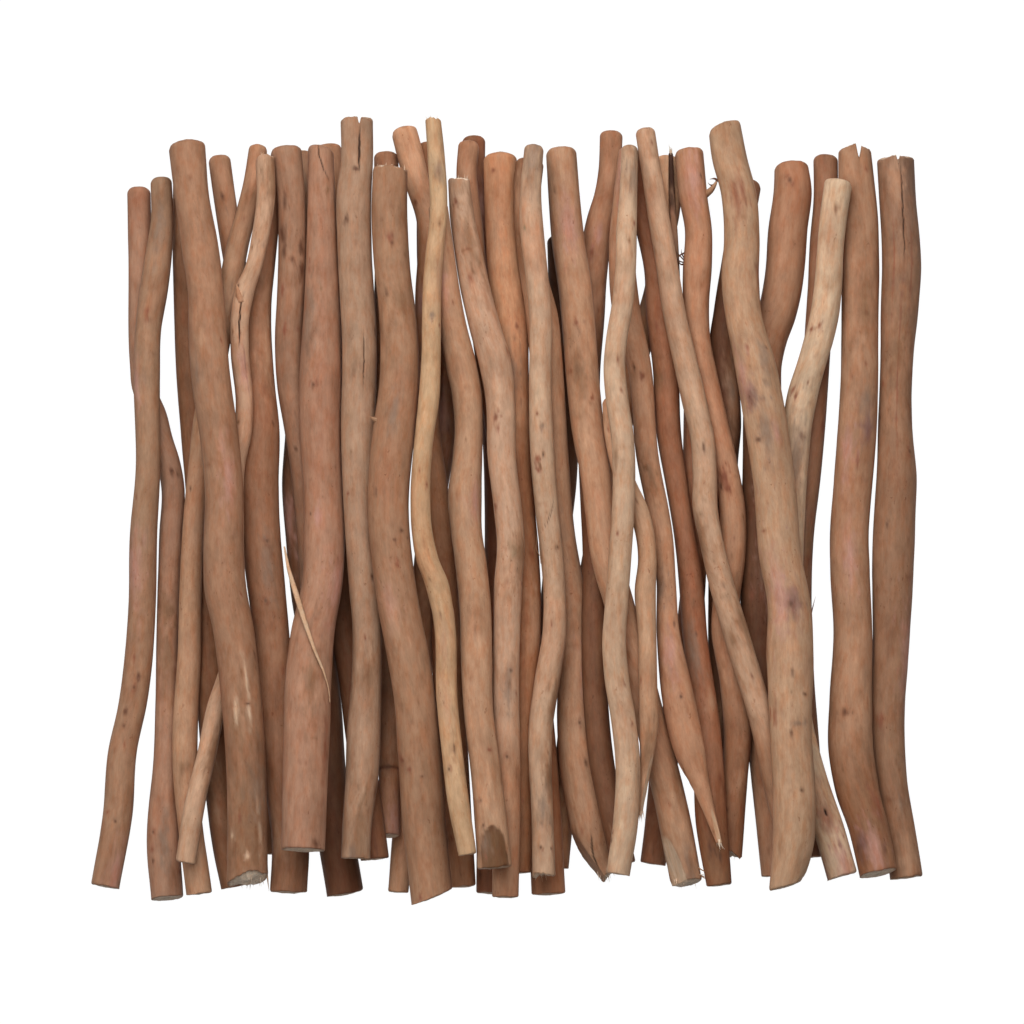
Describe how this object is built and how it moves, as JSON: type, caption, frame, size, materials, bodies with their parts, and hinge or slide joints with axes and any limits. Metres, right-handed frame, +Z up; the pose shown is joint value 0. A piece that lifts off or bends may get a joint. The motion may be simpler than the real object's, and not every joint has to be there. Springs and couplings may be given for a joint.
{
  "type": "bundle of twigs",
  "caption": "Loose bundle of peeled, dried natural twigs lying side by side in a low heap, with sawn, whittled and broken ends.",
  "frame": {"origin": "on the floor, under the middle of the heap's box", "axes": "+X across the sticks, towards the heap's right side; +Y along the sticks, towards their far ends; +Z up"},
  "size_m": [0.3316, 0.3238, 0.0545],
  "materials": {
    "twig_wood": "dry peeled wood, matt, with fine lengthwise grain, knots and stains",
    "weathered_wood": "dark weathered splinter, matt and fibrous"
  },
  "bodies": {
    "root": {"stick_01": "twig_wood", "stick_02": "twig_wood", "stick_03": "twig_wood", "stick_04": "twig_wood", "stick_05": "twig_wood", "stick_06": "twig_wood", "stick_07": "twig_wood", "stick_08": "twig_wood", "stick_09": "twig_wood", "stick_10": "twig_wood", "stick_11": "twig_wood", "stick_12": "twig_wood", "stick_13": "twig_wood", "stick_14": "twig_wood", "stick_15": "twig_wood", "stick_16": "twig_wood", "stick_17": "twig_wood", "stick_18": "twig_wood", "stick_19": "twig_wood", "stick_20": "twig_wood", "stick_21": "twig_wood", "stick_22": "twig_wood", "stick_23": "twig_wood", "stick_24": "twig_wood", "stick_25": "twig_wood", "stick_26": "twig_wood", "stick_27": "twig_wood", "stick_28": "twig_wood", "stick_29": "twig_wood", "stick_30": "twig_wood", "stick_31": "twig_wood", "stick_32": "twig_wood", "stick_33": "twig_wood", "stick_34": "twig_wood", "stick_35": "twig_wood", "stick_36": "twig_wood", "stick_37": "twig_wood", "stick_38": "twig_wood", "stick_39": "twig_wood", "stick_40": "twig_wood", "stick_41": "twig_wood", "stick_42": "twig_wood", "stick_43": "twig_wood", "splinter": "weathered_wood"}
  },
  "joints": []
}
